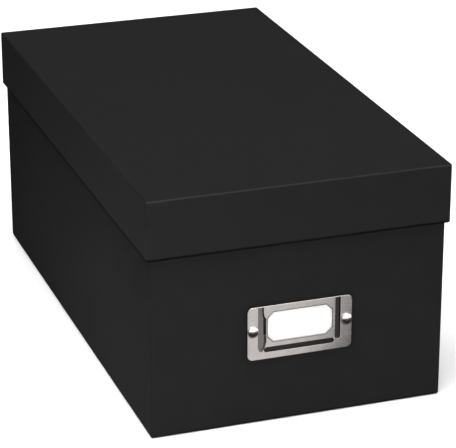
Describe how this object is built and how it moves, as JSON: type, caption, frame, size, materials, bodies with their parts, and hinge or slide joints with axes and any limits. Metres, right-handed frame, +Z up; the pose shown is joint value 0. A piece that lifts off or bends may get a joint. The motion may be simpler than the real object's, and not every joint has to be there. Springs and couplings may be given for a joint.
{
  "type": "archival box",
  "caption": "Long lidded storage box of paper-covered greyboard, with a deep lift-off lid and a riveted metal label holder on its front end.",
  "frame": {"origin": "middle of the base's underside, where the box rests", "axes": "+Z up; +Y from the front end, which has the label holder, to the back end; +X across the box, to the right of someone facing the label holder"},
  "size_m": [0.203, 0.3682, 0.162],
  "materials": {
    "wrap_paper": "smooth black covering paper, low satin",
    "lining_paper": "matt off-white lining paper",
    "greyboard": "raw compressed greyboard",
    "kraft_tape": "gummed kraft tape",
    "nickel_steel": "satin nickel plate on pressed steel",
    "card": "smooth white card"
  },
  "bodies": {
    "base": {"base_floor_board": "greyboard", "base_front_board": "greyboard", "base_back_board": "greyboard", "base_left_board": "greyboard", "base_right_board": "greyboard", "base_tape_front_left": "kraft_tape", "base_tape_front_right": "kraft_tape", "base_tape_back_left": "kraft_tape", "base_tape_back_right": "kraft_tape", "base_wrap": "wrap_paper", "base_underside_sheet": "wrap_paper", "base_wall_lining": "lining_paper", "base_floor_lining": "lining_paper", "label_holder_plate": "nickel_steel", "rivet_left": "nickel_steel", "rivet_right": "nickel_steel", "rivet_washer_left": "nickel_steel", "rivet_washer_right": "nickel_steel"},
    "lid": {"lid_top_board": "greyboard", "lid_front_rim_board": "greyboard", "lid_back_rim_board": "greyboard", "lid_left_rim_board": "greyboard", "lid_right_rim_board": "greyboard", "lid_tape_front_left": "kraft_tape", "lid_tape_front_right": "kraft_tape", "lid_tape_back_left": "kraft_tape", "lid_tape_back_right": "kraft_tape", "lid_wrap": "wrap_paper", "lid_lining": "lining_paper"},
    "card": {"label_card": "card"}
  },
  "joints": [
    {"name": "lid_lift", "type": "slide", "parent": "base", "child": "lid", "axis": [0, 0, 1], "range_m": [0, 0.1]},
    {"name": "label_card_slide", "type": "slide", "parent": "base", "child": "card", "axis": [0, 0, 1], "range_m": [0, 0.032]}
  ]
}
